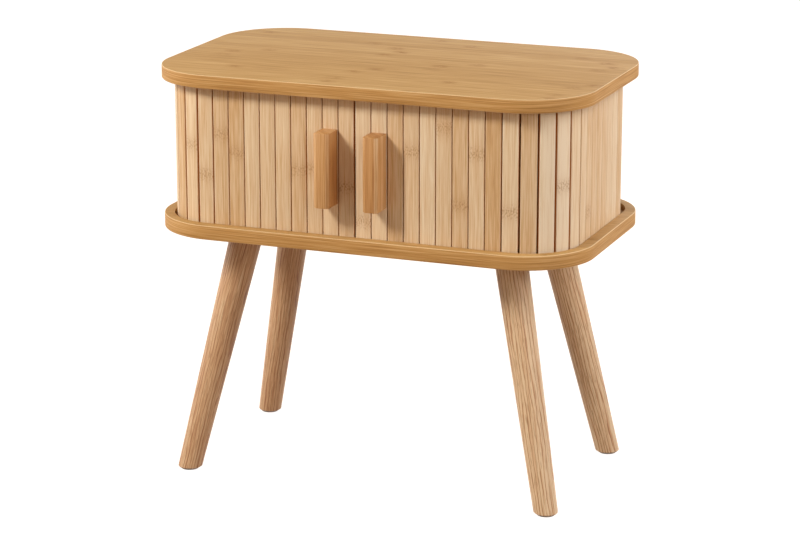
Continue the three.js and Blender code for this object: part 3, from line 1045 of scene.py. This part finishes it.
# %% Make the legs and their pads
LEG_FOOT_IN_X = 36.0
LEG_FOOT_IN_Y = 37.0
LEG_TOP_RADIUS = 18.5
LEG_FOOT_RADIUS = 13.2
LEG_SIDES = 72
LEG_RINGS = 9
FOOT_CHAMFER = 1.2
PAD_THICKNESS = 1.8
PAD_RADIUS = 10.0
PAD_ROUNDING = 0.5
PAD_SIDES = 48
SHIFT_ALONG = 10


def leg_axes(top, foot):
    """A leg's directions: along it, to its side and to its front."""
    axis = (top - foot).normalized()
    side = axis.cross(Vector((0, 1, 0))).normalized()
    return axis, side, axis.cross(side)


def leg_ring(top, foot, height, pinch=0.0):
    """The points of a leg at one height, drawn in by a pinch in millimetres."""
    _, side, front = leg_axes(top, foot)
    points = []
    for step in range(LEG_SIDES):
        turn = 2 * math.pi * step / LEG_SIDES
        outward = side * math.cos(turn) + front * math.sin(turn)
        high = top + outward * LEG_TOP_RADIUS
        low = foot + outward * LEG_FOOT_RADIUS
        point = low.lerp(high, (height - low.z) / (high.z - low.z)) - outward * pinch
        points.append(spot(point.x, point.y, height))
    return points


def leg_grain(top, foot, shift):
    """Grain of a leg: along its own axis."""
    axis, side, front = leg_axes(top, foot)

    def place_of(point, face):
        offset = point - foot
        return offset.dot(side) + shift, offset.dot(front), offset.dot(axis) + SHIFT_ALONG * shift

    return place_of


foot_x = WIDTH / 2 - LEG_FOOT_IN_X
foot_y = DEPTH / 2 - LEG_FOOT_IN_Y
# Each leg has its corner, the signs of it, its shift in the grain and its tone.
for corner, sign_x, sign_y, shift, tone in (
    ("front_left", -1, -1, 3.0, 0.38),
    ("front_right", 1, -1, -11.0, 0.66),
    ("rear_left", -1, 1, 17.0, 0.38),
    ("rear_right", 1, 1, 31.0, 0.66),
):
    leg_top = Vector((sign_x * bolt_x, sign_y * bolt_y, base_underside))
    leg_foot = Vector((sign_x * foot_x, sign_y * foot_y, 0.0))
    low = PAD_THICKNESS + TOUCH_GAP
    high = base_underside - TOUCH_GAP
    heights = [low + FOOT_CHAMFER + (high - low - FOOT_CHAMFER) * step / LEG_RINGS
               for step in range(LEG_RINGS + 1)]
    rings = [leg_ring(leg_top, leg_foot, low, FOOT_CHAMFER)]
    rings += [leg_ring(leg_top, leg_foot, height) for height in heights]
    leg = make_shell(f"leg_{corner}_dressed", rings, leg_wood)
    shade(leg)
    write_grain(leg, leg_grain(leg_top, leg_foot, shift), tone_and_light_of=lambda face: tone)
    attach(leg, "carcass")
    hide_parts(f"leg_{corner}")
    pad_middle = leg_foot.lerp(leg_top, PAD_THICKNESS / base_underside)
    rings = []
    for inset, height in rounded_edge(0.0, PAD_THICKNESS, PAD_ROUNDING):
        rim = circle(pad_middle.x, pad_middle.y, PAD_RADIUS - inset, PAD_SIDES)
        rings.append([spot(x, y, height) for x, y in rim])
    pad = make_shell(f"foot_pad_{corner}_dressed", rings, pad_plastic)
    shade(pad)
    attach(pad, "carcass")
    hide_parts(f"foot_pad_{corner}")
    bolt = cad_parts[f"leg_bolt_{corner}"]
    bolt.data.materials.clear()
    bolt.data.materials.append(bolt_zinc)
print("legs lean from", round(bolt_x), "to", round(foot_x), "mm out")

# %% [markdown]
# ## The studio
# The photograph is a plain cut-out on white. The floor here is warm brown paper, which throws a
# little warm light up on the legs and keeps a soft shadow. It shows white to the camera because its
# own material adds light for the rays that see the background, so no lamp is turned up for it. The
# world is a dim room that shows white in the same way.

# %% Floor and world
FLOOR_HALF = 15.0
FLOOR_LIFT = 0.95
ROOM_LIGHT = 0.03


def sees_background(tree):
    """One for rays that show the background: from the camera, off gloss or through glass."""
    rays = add_node(tree, "LightPath").outputs
    seen = add_node(tree, "Math", [rays["Is Camera Ray"], rays["Is Glossy Ray"]],
                    operation="MAXIMUM")
    return add_node(tree, "Math", [seen, rays["Is Transmission Ray"]], operation="MAXIMUM")


floor_mesh = bpy.data.meshes.new("studio_floor")
floor_corners = [(x * FLOOR_HALF, y * FLOOR_HALF, 0)
                 for x, y in ((-1, -1), (1, -1), (1, 1), (-1, 1))]
floor_mesh.from_pydata(floor_corners, [], [(0, 1, 2, 3)])
floor = put_in_scene("studio_floor", floor_mesh)

floor_paper, tree, shader = start_material("warm_brown_studio_paper", 0.95)
shader.inputs["Base Color"].default_value = linear("947A62")
shader.inputs["Emission Color"].default_value = (1, 1, 1, 1)
lift = add_node(tree, "Math", [sees_background(tree), FLOOR_LIFT], operation="MULTIPLY")
tree.links.new(lift.outputs[0], shader.inputs["Emission Strength"])
floor_mesh.materials.append(floor_paper)

world = bpy.data.worlds.new("studio_room")
world.use_nodes = True
bpy.context.scene.world = world
tree = world.node_tree
strength = add_node(tree, "MapRange", {
    "Value": sees_background(tree), "To Min": ROOM_LIGHT, "To Max": 1.0,
})
tree.links.new(strength.outputs[0], tree.nodes["Background"].inputs["Strength"])
tree.nodes["Background"].inputs["Color"].default_value = (1, 1, 1, 1)
print("room light", ROOM_LIGHT)

# %% [markdown]
# ## The lamps
# The shadows tell where the lamps stood. A handle's shadow falls 38 degrees to the right with a
# crisp upright edge and soft ends, so the main lamp is a tall narrow box at the left. A wide soft
# box stands at the bright and even right side, and a low one at the far left lights the legs. A
# weak box opens the front right corner and the chamfers, and two at the rear light the back.

# %% Lamps
LAMP_DISTANCE = 3000.0
LAMP_TARGET_HEIGHT = 350.0


def add_lamp(name, azimuth, elevation, width, height, watts, colour):
    """A rectangular soft box, its sides in metres, that faces the middle of the case."""
    data = bpy.data.lights.new(name, "AREA")
    data.shape = "RECTANGLE"
    data.size = width
    data.size_y = height
    data.energy = watts
    data.color = linear(colour)[:3]
    lamp_target = spot(0, 0, LAMP_TARGET_HEIGHT)
    aim(put_in_scene(name, data), lamp_target, azimuth, elevation, LAMP_DISTANCE)


add_lamp("main_soft_box", -38.0, 37.0, 0.25, 0.8, 66.0, "FFFDFA")
add_lamp("left_soft_box", -85.0, 15.0, 2.0, 1.0, 34.0, "FFFFFF")
add_lamp("front_right_soft_box", 45.0, 18.0, 1.2, 1.2, 14.0, "FFF8F0")
add_lamp("right_soft_box", 85.0, 34.0, 2.0, 2.2, 58.0, "F6F8FF")
add_lamp("rear_right_soft_box", 118.0, 25.0, 1.5, 1.5, 12.0, "F6F8FF")
add_lamp("rear_soft_box", 165.0, 30.0, 2.0, 1.5, 30.0, "F6F8FF")

# %% [markdown]
# ## Colour management
# The view transform is Standard, so a colour renders about as it is written.

# %% Finish
bpy.context.scene.view_settings.view_transform = "Standard"
